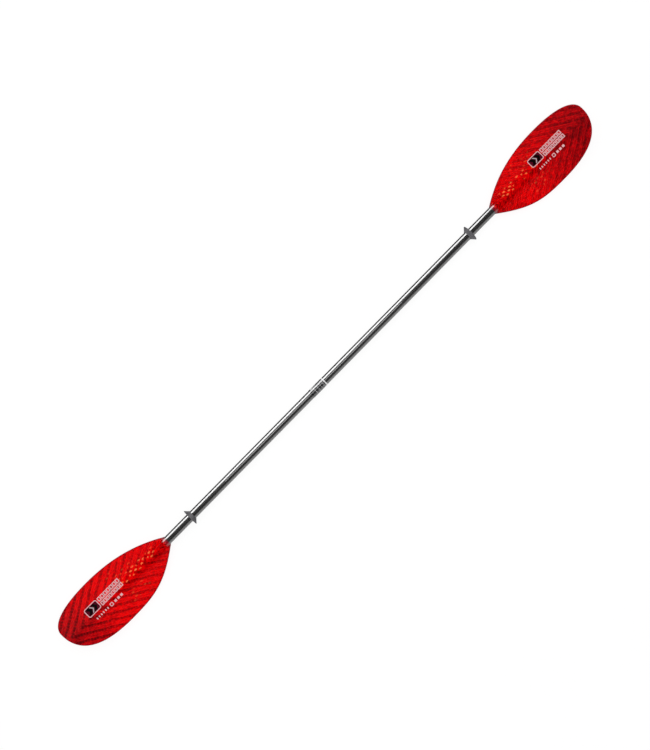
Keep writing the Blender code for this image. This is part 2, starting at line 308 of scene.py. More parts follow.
def ease(a, b, value):
    """0 below a, 1 above b, smooth between."""
    t = np.clip((value - a) / (b - a), 0, 1)
    return t * t * (3 - 2 * t)


def middle_height(s, y):
    """Height of the laminate's middle surface at a distance s from the neck."""
    lift = TIP_LIFT * (np.maximum(s - LIFT_START, 0) / (BLADE_LENGTH - LIFT_START)) ** 2
    soft = 0.008
    droop = EDGE_DROOP * (np.sqrt(y * y + soft * soft) - soft)
    return lift - droop * ease(0.0, 0.12, s)


def ridge_size(s):
    """Height and half-width of the ridge that runs out of the neck."""
    fade = ease(SOCKET_DEPTH * 0.8, RIDGE_END, s)
    return NECK_R * (1 - fade), NECK_R * (1 - 0.25 * fade)


def half_thickness(s, y, half_width):
    across = np.clip(np.abs(y) / half_width, 0, 1)
    plate = RIM_THICKNESS / 2 + (PLATE_THICKNESS - RIM_THICKNESS) / 2 * np.sqrt(1 - across**2)
    height, width = ridge_size(s)
    inside = np.clip(np.abs(y) / width, 0, 1)
    ridge = height * np.sqrt(1 - inside**2) - 1.2 * np.maximum(np.abs(y) - width, 0)
    fillet = 0.0002 + 0.010 * ease(0.0, 0.07, s) * height / NECK_R
    near = np.maximum(fillet - np.abs(ridge - plate), 0) / fillet
    return np.maximum(ridge, plate) + near * near * fillet / 4


def half_at(d, y):
    """Half the blade's thickness at a distance d from the tip."""
    upper, lower = half_widths(d)
    half_width = np.where(y > 0, np.maximum(upper, 1e-4), np.maximum(lower, 1e-4))
    return half_thickness(BLADE_LENGTH - d, y, half_width)


def face_height(d, y):
    """Height of the power face at a point of the blade."""
    return middle_height(BLADE_LENGTH - d, y) + half_at(d, y)


def outline_distance(d, y):
    """Distance of each blade point from the blade's outline, seen from above."""
    upper, lower = edge_curve(UPPER_EDGE), edge_curve(LOWER_EDGE) * np.array([1, -1])
    least = np.full(np.shape(d), 1.0)
    for curve in (upper, lower):
        for (d0, y0), (d1, y1) in zip(curve[:-1], curve[1:]):
            run, rise = d1 - d0, y1 - y0
            length = run * run + rise * rise
            if length < 1e-14:
                continue
            t = np.clip(((d - d0) * run + (y - y0) * rise) / length, 0, 1)
            least = np.minimum(least, np.hypot(d - d0 - t * run, y - y0 - t * rise))
    return least


def blade_grid():
    """Blade points as arrays (distance from tip, y), rows by columns, closer together at the rim."""
    steps = np.arange(BLADE_ROWS + 1) / BLADE_ROWS
    start = 0.00005
    d = start + (BLADE_LENGTH - start) * (1 - np.cos(math.pi * steps)) / 2
    upper, lower = half_widths(d)
    middle, half = (upper - lower) / 2, (upper + lower) / 2
    t = np.linspace(-1, 1, BLADE_COLUMNS + 1)
    spread = 0.55 * t + 0.45 * t**3
    rim = RIM_EDGE
    insets = rim * (1 - np.cos(np.linspace(0, math.pi / 2, RIM_COLUMNS + 1)))[:-1]
    rows = []
    for centre, reach in zip(middle, half):
        inner = max(reach - rim, reach * 0.5)
        edge = insets * (reach - inner) / rim
        across = np.concatenate([edge - reach, spread * inner, (reach - edge)[::-1]])
        rows.append(centre + across)
    y = np.array(rows)
    return np.repeat(d[:, None], y.shape[1], axis=1), y


def rim_round(d, y):
    """How much of its thickness the laminate has near its rounded rim, from 0 at the rim to 1."""
    inside = np.clip(outline_distance(d, y) / RIM_EDGE, 0, 1)
    return np.sqrt(np.clip(1 - (1 - inside) ** 2, 0, 1))


def blade_mesh(name, side, grid, fullness):
    """The blade's closed skin with a rounded rim, bored at the neck for the shaft and its foam core."""
    d, y = grid
    middle = middle_height(BLADE_LENGTH - d, y)
    half = half_at(d, y) * fullness
    rows, columns = d.shape
    made = bmesh.new()
    top, bottom = [], []
    for i in range(rows):
        upper, lower = [], []
        for j in range(columns):
            x = side * (LENGTH / 2 - d[i, j])
            if i == 0 or j in (0, columns - 1):
                vertex = made.verts.new((x, y[i, j], middle[i, j]))
                upper.append(vertex)
                lower.append(vertex)
                continue
            upper.append(made.verts.new((x, y[i, j], middle[i, j] + half[i, j])))
            lower.append(made.verts.new((x, y[i, j], middle[i, j] - half[i, j])))
        top.append(upper)
        bottom.append(lower)
    for i in range(rows - 1):
        for j in range(columns - 1):
            for skin in (top, bottom):
                made.faces.new((skin[i][j], skin[i][j + 1], skin[i + 1][j + 1], skin[i + 1][j]))
    for j in range(columns - 1):
        wall = [top[-1][j], top[-1][j + 1], bottom[-1][j + 1], bottom[-1][j]]
        made.faces.new(list(dict.fromkeys(wall)))
    mesh = finished(made, name)
    bore, end, clear = SHAFT_R + GAP, SOCKET_DEPTH + GAP, -0.002
    core_end = end + CORE_LENGTH + 2 * GAP
    profile = [(0, core_end), (CORE_END_R + GAP, core_end), (bore, end), (bore, clear), (0, clear)]
    mesh = drilled(mesh, [lathe("bore", profile, side * NECK_X, side, BORE_STEPS, closed=False)])
    points = np.array([v.co for v in mesh.vertices])
    rim = outline_distance(LENGTH / 2 - np.abs(points[:, 0]), points[:, 1])
    attribute = mesh.attributes.new("rim", "FLOAT", "POINT")
    attribute.data.foreach_set("value", rim.astype(np.float32))
    return mesh


# ---------------------------------------------------------------- materials


class Look:
    """A material's node tree, written one call for each node. Inputs are sockets or plain numbers."""

    def __init__(self, name):
        self.material = bpy.data.materials.new(name)
        self.material.use_nodes = True
        self.tree = self.material.node_tree
        self.shader = self.tree.nodes["Principled BSDF"]
        self.position = self.node("ShaderNodeTexCoord").outputs["Object"]

    def node(self, kind, **settings):
        made = self.tree.nodes.new(kind)
        for key, value in settings.items():
            setattr(made, key, value)
        return made

    def link(self, value, socket):
        if isinstance(value, bpy.types.NodeSocket):
            self.tree.links.new(value, socket)
        else:
            socket.default_value = value

    def math(self, operation, a, b=0.0, c=0.0):
        made = self.node("ShaderNodeMath", operation=operation)
        for value, socket in zip((a, b, c), made.inputs):
            self.link(value, socket)
        return made.outputs[0]

    def total(self, *terms):
        """The sum of (factor, value) pairs."""
        result = 0.0
        for factor, value in terms:
            result = self.math("MULTIPLY_ADD", value, factor, result)
        return result

    def product(self, result, *others):
        for value in others:
            result = self.math("MULTIPLY", result, value)
        return result

    def centred(self, noise):
        """Noise moved to lie round 0."""
        return self.math("SUBTRACT", noise, 0.5)

    def axes(self):
        made = self.node("ShaderNodeSeparateXYZ")
        self.link(self.position, made.inputs[0])
        return made.outputs

    def combine(self, x, y, z=0.0):
        made = self.node("ShaderNodeCombineXYZ")
        for value, socket in zip((x, y, z), made.inputs):
            self.link(value, socket)
        return made.outputs[0]

    def noise(self, vector, scale, detail):
        made = self.node("ShaderNodeTexNoise")
        self.link(vector, made.inputs["Vector"])
        made.inputs["Scale"].default_value = scale
        made.inputs["Detail"].default_value = detail
        return made.outputs["Fac"]

    def wave(self, value, period):
        """A sine of this period, from -1 to 1."""
        return self.math("SINE", self.product(value, 2 * math.pi / period))

    def between(self, value, low, high):
        """0 below low, 1 above high, smooth between; the other way round if low is the larger."""
        made = self.node("ShaderNodeMapRange", interpolation_type="SMOOTHSTEP")
        self.link(value, made.inputs["Value"])
        turned = low > high
        made.inputs["From Min"].default_value = min(low, high)
        made.inputs["From Max"].default_value = max(low, high)
        made.inputs["To Min"].default_value = 1.0 if turned else 0.0
        made.inputs["To Max"].default_value = 0.0 if turned else 1.0
        return made.outputs["Result"]

    def near(self, value, centre, outer, inner):
        """1 within inner of the centre, 0 beyond outer, smooth between."""
        return self.between(self.math("ABSOLUTE", self.math("SUBTRACT", value, centre)), outer, inner)

    def stretch(self, value, start, full, fade, end):
        """1 from full to fade, 0 before start and after end, smooth between."""
        return self.product(self.between(value, start, full), self.between(value, end, fade))

    def mix(self, factor, a, b):
        made = self.node("ShaderNodeMix", data_type="RGBA")
        self.link(factor, made.inputs["Factor"])
        for value, socket in ((a, made.inputs[6]), (b, made.inputs[7])):
            self.link(value if isinstance(value, bpy.types.NodeSocket) else (*value, 1.0), socket)
        return made.outputs[2]

    def ramp(self, factor, stops):
        made = self.node("ShaderNodeValToRGB")
        points = made.color_ramp.elements
        for place, colour in stops[1:-1]:
            points.new(place).color = (*colour, 1.0)
        for point, (place, colour) in zip((points[0], points[-1]), (stops[0], stops[-1])):
            point.position = place
            point.color = (*colour, 1.0)
        self.link(factor, made.inputs[0])
        return made.outputs[0]

    def attribute(self, name):
        return self.node("ShaderNodeAttribute", attribute_name=name).outputs["Fac"]

    def bump(self, height, distance):
        """Relief whose height is in units of this distance."""
        made = self.node("ShaderNodeBump")
        made.inputs["Strength"].default_value = 1.0
        made.inputs["Distance"].default_value = distance
        self.link(height, made.inputs["Height"])
        self.link(made.outputs[0], self.shader.inputs["Normal"])

    def set(self, **values):
        """Principled inputs by name, with _ for a space."""
        for key, value in values.items():
            socket = self.shader.inputs[key.replace("_", " ")]
            if isinstance(value, tuple):
                value = (*value, 1.0)
            self.link(value, socket)


def laminate(name, tone, band_depth, fine_depth, grain, fade_start, fade_depth, neck_depth):
    """Red resin over woven glass: chevron bands from the spine, cells of the cloth, a darker line along the
    rim, painted glints and painted shade on one flank of the ridge.
    """
    look = Look(name)
    x, y, _ = look.axes()
    along = look.math("SUBTRACT", look.math("ABSOLUTE", x), NECK_X)
    spine_softness = 0.003
    out = look.math("SQRT", look.math("MULTIPLY_ADD", y, y, spine_softness**2))
    drift = look.centred(look.noise(look.position, 13.0, 1.5))
    across = look.total((math.sin(SWEEP), along), (math.cos(SWEEP), out), (0.010, drift))
    down = look.total((-math.cos(SWEEP), along), (math.sin(SWEEP), out), (0.006, drift))

    # Bands, deeper and more broken into dashes toward the blade's end
    far = look.between(along, 0.060, 0.250)
    end = look.between(along, 0.290, 0.400)
    cells = look.wave(down, CELL_PERIOD)
    broken = look.product(cells, look.total((0.30, end), (1.0, 0.24)))
    dashes = look.total((1.0, broken), (0.30, far), (0.35, end), (1.0, 0.72))
    groove = look.product(look.between(look.wave(across, BAND_PERIOD), 0.0, -0.95), dashes)

    # Cloth, with streaks along the bands that differ on the two sides of the spine
    fine = look.wave(across, FINE_PERIOD)
    cell = look.product(fine, cells)
    weave = look.product(look.wave(across, WEAVE_PERIOD), look.wave(down, WEAVE_PERIOD))
    side = look.product(look.math("SIGN", y), 7.0)
    streak_place = look.combine(look.product(across, 300.0), look.product(down, 70.0), side)
    streak = look.noise(streak_place, 1.0, 2.0)
    mottle = look.noise(look.position, 120.0, 1.0)
    patch = look.noise(look.position, 30.0, 2.0)

    tip = look.between(along, fade_start, 0.44)
    root = look.between(along, 0.110, 0.020)
    # Painted shade: a darker band along the ridge's flank on the -Y side, which faces away from the light
    spine = look.near(y, -0.012, 0.026, 0.004)
    light = look.total(
        (-0.30 * band_depth, groove),
        (0.07 * fine_depth, fine),
        (0.07, cell),
        (0.05, weave),
        (grain, look.centred(streak)),
        (0.45, look.centred(mottle)),
        (0.40, look.centred(patch)),
        (-fade_depth, tip),
        (-neck_depth, root),
        # painted shade on the ridge's -Y flank
        (-0.10, spine),
        (1.0, look.product(tip, y)),
        (1.0, tone),
    )
    colour = look.ramp(
        light,
        [
            (0.00, (0.07, 0.0, 0.0)),
            (0.30, (0.25, 0.0, 0.0005)),
            (0.55, (0.50, 0.0, 0.001)),
            (0.78, (0.80, 0.0, 0.001)),
            (1.00, (0.97, 0.001, 0.0015)),
        ],
    )
    colour = look.mix(look.product(tip, 0.30), colour, (0.24, 0.0, 0.005))

    # Painted highlights: orange glints painted into the colour in a lattice, bright on the ridge and faint
    # on the wings
    lattice = look.product(
        look.wave(look.total((1.0, along), (0.012, drift), (1.0, -0.0185)), GLINT_PERIOD_X),
        look.wave(look.total((1.0, y), (0.006, drift), (1.0, -0.0036)), GLINT_PERIOD_Y),
    )
    chance = look.noise(look.position, 47.0, 0.0)
    painted_glint_spots = look.between(look.total((1.0, lattice), (1.4, look.centred(streak))), 0.26, 0.74)
    ridge = look.product(
        look.near(y, 0.0112, 0.016, 0.008),
        look.between(chance, 0.36, 0.46),
        look.stretch(along, 0.045, 0.065, 0.190, 0.225),
    )
    wing = look.product(
        look.near(look.math("ABSOLUTE", y), 0.046, 0.022, 0.012),
        look.between(chance, 0.52, 0.60),
        look.stretch(along, 0.120, 0.150, 0.215, 0.240),
    )
    painted_glints = look.product(painted_glint_spots, look.math("MAXIMUM", ridge, look.product(wing, 0.22)))
    # Painted highlight: the glints are mixed into the base colour as orange
    colour = look.mix(painted_glints, colour, (1.0, 0.17, 0.05))

    # A darker line along the rim, and darker maroon where the blade meets the shaft
    colour = look.mix(look.between(look.attribute("rim"), 0.0040, 0.0010), colour, (0.30, 0.0, 0.008))
    colour = look.mix(look.between(along, 0.014, 0.003), colour, (0.22, 0.0, 0.012))
    neck = look.between(along, 0.017, 0.005)
    crest = look.product(look.near(y, 0.0, 0.022, 0.014), look.between(along, 0.290, 0.240))
    look.set(
        Base_Color=colour,
        Roughness=look.total((0.15, streak), (0.35, crest), (1.0, 0.12)),
        Specular_IOR_Level=0.0,
        Coat_Weight=look.total((1.0 - THIN_COAT, neck), (-0.030, crest), (1.0, THIN_COAT)),
        Coat_Roughness=THIN_COAT_ROUGHNESS,
        Coat_IOR=COAT_IOR,
    )
    relief_in_metres = look.total((0.00012, lattice), (0.0008, mottle), (0.00005, cell))
    look.bump(relief_in_metres, 1.0)
    return look.material


def around(look):
    """The angle round the shaft from +Z toward +Y, in radians."""
    _, y, z = look.axes()
    return look.math("ARCTAN2", y, z)


def carbon():
    """Clear-coated carbon tube: a 2/2 twill of dark tows, with faint cloudiness in the lacquer."""
    look = Look("carbon_twill")
    x, _, _ = look.axes()
    turn = look.product(around(look), SHAFT_R)
    tow_width = 0.0021
    pitch = tow_width * math.sqrt(2)
    one = look.math("DIVIDE", look.math("ADD", x, turn), pitch)
    two = look.math("DIVIDE", look.math("SUBTRACT", x, turn), pitch)
    step = look.math("ADD", look.math("FLOOR", one), look.math("FLOOR", two))
    over = look.math("LESS_THAN", look.math("FRACT", look.product(step, 0.25)), 0.45)
    fibre = look.noise(look.combine(look.product(one, 3.0), look.product(two, 3.0)), 2.0, 1.0)
    cloud = look.noise(look.position, 9.0, 2.0)
    colour = look.ramp(
        look.total((0.35, over), (0.30, fibre), (0.35, cloud)),
        [
            (0.15, (0.016, 0.016, 0.0165)),
            (0.55, (0.027, 0.0265, 0.0265)),
            (0.95, (0.052, 0.050, 0.048)),
        ],
    )
    look.set(
        Base_Color=colour,
        Roughness=look.total((0.12, over), (0.10, cloud), (1.0, 0.22)),
        Specular_IOR_Level=1.0,
        Coat_Weight=1.0,
        Coat_Roughness=0.03,
        Coat_IOR=COAT_IOR,
    )
    look.bump(look.total((0.6, over), (0.3, fibre)), 0.000008)
    return look.material


def rubber():
    """Grey moulded rubber with a fine matt grain and a paler bloom where it has been handled."""
    look = Look("moulded_rubber")
    grain = look.noise(look.position, 2600.0, 2.0)
    bloom = look.noise(look.position, 55.0, 3.0)
    colour = look.ramp(
        look.total((0.25, grain), (0.75, bloom)),
        [(0.30, (0.075, 0.073, 0.080)), (0.50, (0.125, 0.122, 0.132)), (0.75, (0.20, 0.196, 0.205))],
    )
    look.set(Base_Color=colour, Roughness=look.total((0.25, bloom), (0.15, grain), (1.0, 0.34)))
    look.bump(grain, 0.00006)
    return look.material


def metal(name, colour, rough, along, round_axis, metallic=1.0):
    """Metal with brush lines: how many to a metre along the axis, and how many to a radian round it."""
    look = Look(name)
    x, _, _ = look.axes()
    turn = around(look)
    lines = look.noise(look.combine(look.product(x, along), look.product(turn, round_axis)), 1.0, 2.0)
    tint = look.mix(lines, tuple(c * 0.82 for c in colour), colour)
    look.set(Base_Color=tint, Metallic=metallic, Roughness=look.total((0.18, lines), (1.0, rough)))
    look.bump(lines, 0.00002)
    return look.material


def plastic(name, dark, pale, scale):
    """Moulded plastic with a fine spark-eroded grain and soft scuffs."""
    look = Look(name)
    grain = look.noise(look.position, scale, 2.0)
    scuff = look.noise(look.position, 70.0, 3.0)
    colour = look.ramp(look.total((0.4, grain), (0.6, scuff)), [(0.3, dark), (0.8, pale)])
    look.set(Base_Color=colour, Roughness=look.total((0.25, scuff), (0.12, grain), (1.0, 0.26)))
    look.bump(grain, 0.00004)
    return look.material


def foam():
    """Pale closed-cell foam."""
    look = Look("closed_cell_foam")
    cells = look.node("ShaderNodeTexVoronoi")
    look.link(look.position, cells.inputs["Vector"])
    cells.inputs["Scale"].default_value = 700.0
    patch = look.noise(look.position, 40.0, 2.0)
    colour = look.ramp(
        look.total((0.6, cells.outputs["Distance"]), (0.5, patch)),
        [(0.1, (0.80, 0.74, 0.58)), (0.8, (0.52, 0.46, 0.32))],
    )
    look.set(Base_Color=colour, Roughness=0.9)
    look.bump(cells.outputs["Distance"], 0.0003)
    return look.material


def scale_print():
    """Film over the tube by the seam: a pale wedge on one side, and rows of ticks round the seam end."""
    look = Look("scale_print")
    x, _, _ = look.axes()
    turn = around(look)
    seam_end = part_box("angle_scale")[1].x
    along = look.math("SUBTRACT", seam_end, x)
    wedge_length = 0.049
    inside = look.between(along, wedge_length + 0.0008, wedge_length)

    # The wedge's upper edge runs round the tube as it leaves the seam, and its lower edge is straight
    upper_at_seam, upper_turn, lower = math.radians(96), math.radians(48), math.radians(130)
    edge = look.math("MULTIPLY_ADD", along, -upper_turn / wedge_length, upper_at_seam)
    under_edge = look.math("GREATER_THAN", look.math("SUBTRACT", turn, edge), 0.0)
    wedge = look.product(under_edge, look.math("LESS_THAN", turn, lower), inside)

    tick = look.near(look.wave(turn, math.radians(30)), 0.0, 0.22, 0.10)
    ticks = look.product(tick, look.stretch(along, 0.0015, 0.0020, 0.0085, 0.0090))
    dot = look.near(look.wave(turn, math.radians(40)), 0.0, 0.40, 0.25)
    row = look.between(look.wave(along, 0.0120), 0.55, 0.75)
    dots = look.product(dot, row, look.between(along, 0.0150, 0.0155), inside)
    line = look.stretch(along, 0.0528, 0.0533, 0.0553, 0.0558)
    mark = look.math("MAXIMUM", look.math("MAXIMUM", wedge, ticks), dots)
    worn = look.noise(look.position, 420.0, 3.0)
    mark = look.product(mark, look.between(worn, 0.30, 0.42))
    base = look.mix(worn, (0.020, 0.020, 0.021), (0.042, 0.042, 0.044))
    base = look.mix(line, base, (0.006, 0.006, 0.006))
    look.set(
        Base_Color=look.mix(mark, base, (0.86, 0.86, 0.87)),
        Roughness=look.total((0.2, worn), (1.0, 0.14)),
        Coat_Weight=0.8,
        Coat_Roughness=0.06,
        Coat_IOR=COAT_IOR,
    )
    return look.material


def decal(name, colour, shade_to):
    """Screen-printed film with a slightly uneven ink."""
    look = Look(name)
    ink = look.noise(look.position, 380.0, 3.0)
    tint = look.mix(ink, colour, shade_to)
    look.set(
        Base_Color=tint,
        Roughness=look.total((0.2, ink), (1.0, 0.15)),
        Specular_IOR_Level=0.0,
        Coat_Weight=THIN_COAT,
        Coat_Roughness=THIN_COAT_ROUGHNESS,
        Coat_IOR=COAT_IOR,
    )
    look.bump(ink, 0.00002)
    return look.material


# ---------------------------------------------------------------- pieces


def make_blades(look_of):
    """Both blades, each a closed skin on the finer grid."""
    grid = blade_grid()
    fullness = rim_round(*grid)
    for name, side in SIDES.items():
        mesh = blade_mesh(name + "_blade_shell", side, grid, fullness)
        piece(name + "_blade_shell", mesh, look_of[name], name + "_half", "blade_laminate", name + "_blade")


def make_shafts(look, drills):
    """Both halves of the tube. The left one has the button's three holes."""
    chamfer = 0.0003
    far_end = NECK_X + SOCKET_DEPTH
    for name, side in SIDES.items():
        seam_end = SEAM_X + side * SEAM_RING_LENGTH / 2
        length = far_end - side * seam_end
        profile = [(SHAFT_R, length), (SHAFT_R, 0), (SHAFT_BORE_R, 0), (SHAFT_BORE_R, length)]
        mesh = lathe(name, softened(profile, chamfer), seam_end, side)
        if name == "left":
            mesh = drilled(mesh, drills)
        piece(name + "_shaft_tube", mesh, look, name + "_half", "carbon_tube", name + "_shaft")


def make_ferrule(looks, drills):
    """The joint's liner, printed film, seam ring and spigot, and the spigot's cap with its ribs."""
    left_end = SEAM_X - SEAM_RING_LENGTH / 2
    right_end = SEAM_X + SEAM_RING_LENGTH / 2

    outer = SHAFT_BORE_R - GAP
    profile = [(outer, SOCKET_LENGTH), (outer, 0), (SOCKET_BORE_R, 0), (SOCKET_BORE_R, SOCKET_LENGTH)]
    mesh = drilled(lathe("socket", softened(profile, 0.0003), left_end, -1), drills)
    piece("socket_liner", mesh, looks["nylon"], "left_half", "ferrule_plastic", "ferrule_socket")

    film_r = SHAFT_R + GAP
    profile = [(film_r + FILM, SCALE_LENGTH), (film_r + FILM, 0), (film_r, 0), (film_r, SCALE_LENGTH)]
    mesh = drilled(lathe("film", softened(profile, 0.0001), left_end - GAP, -1), drills)
    piece("scale_film", mesh, looks["scale"], "left_half", "scale_film", "angle_scale")

    bore = SPIGOT_R + GAP
    length = SEAM_RING_LENGTH - 2 * GAP
    groove = 0.0003
    profile = [
        (SEAM_RING_R, length),
        (SEAM_RING_R, length * 0.64),
        (SEAM_RING_R - groove, length * 0.58),
        (SEAM_RING_R - groove, length * 0.42),
        (SEAM_RING_R, length * 0.36),
        (SEAM_RING_R, 0),
        (bore, 0),
        (bore, length),
    ]
    mesh = lathe("ring", softened(profile, 0.0004), left_end + GAP, 1)
    piece("seam_ring_metal", mesh, looks["aluminium"], "seam_ring", "seam_metal", "seam_ring")

    root_r, reach = SHAFT_BORE_R - GAP, SPIGOT_REACH + SEAM_RING_LENGTH
    floor_r, slope, width = SPIGOT_R - groove, 0.0004, 0.0018
    profile = [(root_r, SPIGOT_ROOT), (root_r, 0), (SPIGOT_R, 0)]
    for at in (0.012, 0.024, 0.078):
        end = at + width
        profile += [(SPIGOT_R, -at), (floor_r, -at - slope), (floor_r, -end + slope), (SPIGOT_R, -end)]
    profile += [
        (SPIGOT_R, -reach + 0.002),
        (SPIGOT_R - 0.0008, -reach),
        (SPIGOT_BORE_R, -reach),
        (SPIGOT_BORE_R, SPIGOT_ROOT),
    ]
    mesh = drilled(lathe("spigot", softened(profile, 0.0003), right_end, 1), [button_drill(0)])
    piece("spigot_tube", mesh, looks["nylon"], "right_half", "ferrule_plastic", "ferrule_spigot")

    flange, flange_r, bevel, dish, depth = 0.003, SPIGOT_R - 0.0006, 0.001, 0.0006, 0.012
    plug, rib_height, half_rib = SPIGOT_BORE_R - GAP, 0.0003, 0.001
    profile = [(0, depth), (plug - bevel, depth)]
    for rib in (0.009, 0.006, 0.003):
        profile += [(plug - rib_height, rib + half_rib), (plug, rib), (plug - rib_height, rib - half_rib)]
    profile += [
        (plug, 0),
        (flange_r, 0),
        (flange_r, -flange + bevel),
        (flange_r - bevel, -flange),
        (0.004, -flange),
        (0.003, -flange + dish),
        (0, -flange + dish),
    ]
    mesh = lathe("cap", softened(profile, 0.0004, closed=False), right_end - reach - GAP, 1, closed=False)
    piece("spigot_cap", mesh, looks["cap"], "right_half", "cap_plastic", "spigot_end_cap")


def make_button(look):
    """The round-nosed stud, which points down at rest."""
    nose_steps, nose_height = 12, 0.0014
    profile = [(0, BUTTON_TOP)]
    for k in range(1, nose_steps + 1):
        angle = math.pi / 2 * k / nose_steps
        profile.append((BUTTON_R * math.sin(angle), BUTTON_TOP - nose_height * (1 - math.cos(angle))))
    profile += softened(
        [
            (BUTTON_R, BUTTON_TOP - 0.004),
            (BUTTON_R, BUTTON_FLANGE_TOP),
            (BUTTON_FLANGE_R, BUTTON_FLANGE_TOP),
            (BUTTON_FLANGE_R, BUTTON_BASE),
            (0, BUTTON_BASE),
        ],
        0.0002,
        closed=False,
    )
    mesh = lathe("button", profile, steps=SMALL_STEPS, closed=False)
    out, across, along = np.array([v.co for v in mesh.vertices]).T
    mesh.vertices.foreach_set("co", np.stack([BUTTON_X + along, across, -out], axis=1).ravel())
    piece("button_stud", mesh, look, "snap_button", "button_steel", "snap_button")


def make_button_spring(look):
    """A V of spring strip: one leaf under the button, the other on the spigot's far wall."""
    strip, half_width = 0.0006, 0.0032
    near, far = -(BUTTON_BASE - GAP - strip / 2), 0.0080
    leaf_end, bend_x = BUTTON_X + 0.007, BUTTON_X - 0.007
    fold_x, fold_r, fold_steps = BUTTON_X - 0.026, 0.0016, 18
    path = [(leaf_end, near), (bend_x, near)]
    for k in range(fold_steps + 1):
        angle = math.pi * k / fold_steps
        path.append((fold_x - fold_r * math.sin(angle), -fold_r * math.cos(angle)))
    path += [(bend_x, far), (leaf_end, far)]
    made = bmesh.new()
    rows = [[made.verts.new((x, y, z)) for x, z in path] for y in (-half_width, 0, half_width)]
    for one, two in zip(rows, rows[1:]):
        for k in range(len(path) - 1):
            made.faces.new((one[k], one[k + 1], two[k + 1], two[k]))
    mesh = finished(made, "spring")
    work = bpy.data.objects.new("work", mesh)
    bpy.context.scene.collection.objects.link(work)
    shell = work.modifiers.new("strip", "SOLIDIFY")
    shell.thickness = strip
    shell.offset = 0
    bpy.context.view_layer.update()
    solid = bpy.data.meshes.new_from_object(work.evaluated_get(bpy.context.evaluated_depsgraph_get()))
    bpy.data.objects.remove(work)
    shade(solid)
    leaf = piece("button_leaf", solid, look, None, "spring_steel", "button_spring")
    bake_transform(leaf)


def flared(root, lip, steps=18):
    """A curve that flares from a root to a lip, each given as (radius, distance from the hub face)."""
    curve = []
    for k in range(steps + 1):
        t = k / steps
        curve.append((root[0] + (lip[0] - root[0]) * t**1.1, root[1] + (lip[1] - root[1]) * t))
    return curve


def make_drip_rings(look):
    """Rubber cups: a hub on the shaft, and a bell with a rounded lip that opens toward the blade."""
    outside = flared((0.0164, 0.0006), (RING_RIM_R, RING_RIM_AT - 0.0005))
    inside = flared((RING_HUB_R + 0.0002, 0.0050), (RING_RIM_R - 0.0007, RING_RIM_AT))
    lip = [
        (RING_RIM_R - 0.0002, RING_RIM_AT),
        (RING_RIM_R, RING_RIM_AT - 0.0002),
        (RING_RIM_R, RING_RIM_AT - 0.0005),
    ]
    groove_at, half_top, half_floor, groove = 0.0094, 0.0009, 0.0005, 0.0003
    hub = [
        (RING_HUB_R, RING_LENGTH),
        (RING_HUB_R, groove_at + half_top),
        (RING_HUB_R - groove, groove_at + half_floor),
        (RING_HUB_R - groove, groove_at - half_floor),
        (RING_HUB_R, groove_at - half_top),
    ]
    end = [(0.0158, 0.0), (RING_BORE_R, 0.0), (RING_BORE_R, RING_LENGTH)]
    profile = softened(hub, 0.0003, closed=False) + inside + lip + outside[::-1] + end
    for name, x in (("left", LEFT_RING_X), ("right", RIGHT_RING_X)):
        mesh = lathe(name, profile, x, SIDES[name])
        piece(name + "_drip_cup", mesh, look, name + "_drip_ring", "ring_rubber", name + "_drip_ring")


# ---------------------------------------------------------------- decals


def lay(made, side, points, level):
    """Lays a grid of (x, y) places on the power face as a closed film, at this share of the film's depth."""
    rows, columns = len(points), len(points[0])
    low, high = [], []
    for row in points:
        d = np.array([LENGTH / 2 - side * x for x, _ in row])
        y = np.array([y for _, y in row])
        z = face_height(d, y) + GAP
        low.append([made.verts.new((x, v, h + FILM * level[0])) for (x, v), h in zip(row, z)])
        high.append([made.verts.new((x, v, h + FILM * level[1])) for (x, v), h in zip(row, z)])
    for i in range(rows - 1):
        for j in range(columns - 1):
            for skin in (low, high):
                made.faces.new((skin[i][j], skin[i][j + 1], skin[i + 1][j + 1], skin[i + 1][j]))
    wall = []
    is_band = points[0][0] == points[-1][0] and points[0][-1] == points[-1][-1]
    if is_band:
        for j in (0, columns - 1):
            for i in range(rows - 1):
                wall.append((low[i][j], low[i + 1][j], high[i + 1][j], high[i][j]))
    else:
        border = [(0, j) for j in range(columns)]
        border += [(i, columns - 1) for i in range(1, rows)]
        border += [(rows - 1, j) for j in range(columns - 2, -1, -1)]
        border += [(i, 0) for i in range(rows - 2, 0, -1)]
        for (i, j), (m, n) in zip(border, border[1:] + border[:1]):
            wall.append((low[i][j], low[m][n], high[m][n], high[i][j]))
    for corners in wall:
        made.faces.new(corners)


def bar(x0, x1, y0, y1, columns=4, rows=5):
    """A plain rectangle: rows toward +Y, each row a few places wide."""
    points = []
    for i in range(rows):
        y = y0 + (y1 - y0) * i / (rows - 1)
        points.append([(x0 + (x1 - x0) * j / (columns - 1), y) for j in range(columns)])
    return points


def rounded_outline(x0, x1, y0, y1, corner, arc=6, straight=8):
    """Places round a rectangle with round corners, in order, back to the first."""
    left, right, low, high = x0 + corner, x1 - corner, y0 + corner, y1 - corner
    centres = [(right, high), (left, high), (left, low), (right, low)]
    made = []
    for k, (cx, cy) in enumerate(centres):
        for step in range(arc + 1):
            angle = math.pi / 2 * (k + step / arc)
            made.append((cx + corner * math.cos(angle), cy + corner * math.sin(angle)))
        nx, ny = centres[(k + 1) % 4]
        angle = math.pi / 2 * (k + 1)
        start = made[-1]
        end = (nx + corner * math.cos(angle), ny + corner * math.sin(angle))
        for step in range(1, straight):
            t = step / straight
            made.append((start[0] + (end[0] - start[0]) * t, start[1] + (end[1] - start[1]) * t))
    return made + [made[0]]


def frame_band(x0, x1, y0, y1, corner, stroke):
    """A rounded frame as a closed band, two places across."""
    outer = rounded_outline(x0, x1, y0, y1, corner)
    inner_corner = max(corner - stroke, 0.0004)
    inner = rounded_outline(x0 + stroke, x1 - stroke, y0 + stroke, y1 - stroke, inner_corner)
    return [[a, b] for a, b in zip(outer, inner)]


